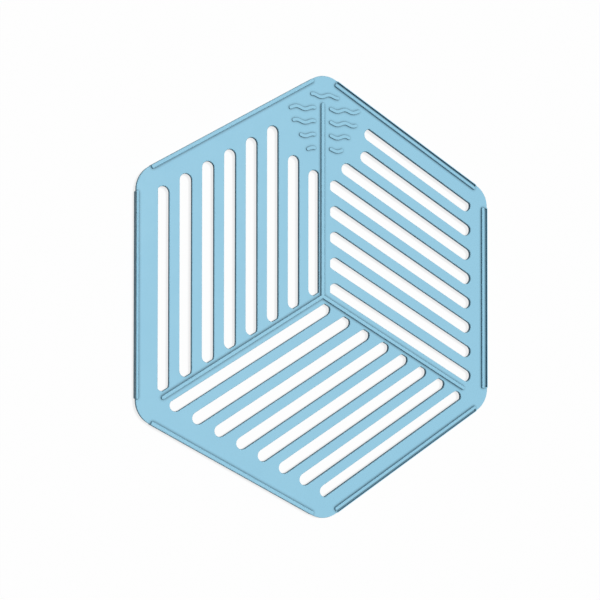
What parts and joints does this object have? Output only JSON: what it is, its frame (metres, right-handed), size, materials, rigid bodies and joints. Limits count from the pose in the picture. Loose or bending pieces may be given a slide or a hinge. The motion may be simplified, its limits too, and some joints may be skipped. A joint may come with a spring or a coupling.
{
  "type": "urinal deodorizer screen",
  "caption": "Flat six-sided moulded plastic screen with rounded corners, long slots in three fields, low ribs meeting at the middle and a raised bar along each edge.",
  "frame": {"origin": "middle of the outline, in the plane of the back of the ribs and bars that the screen lies on", "axes": "+Z out of the front face, +Y from the middle toward the corner with the raised waves, +X to the right as seen from the front"},
  "size_m": [0.174, 0.1972, 0.0041],
  "materials": {
    "blue_plastic": "smooth moulded, light blue, soft sheen"
  },
  "bodies": {
    "root": {"deodorizer_screen": "blue_plastic"}
  },
  "joints": []
}
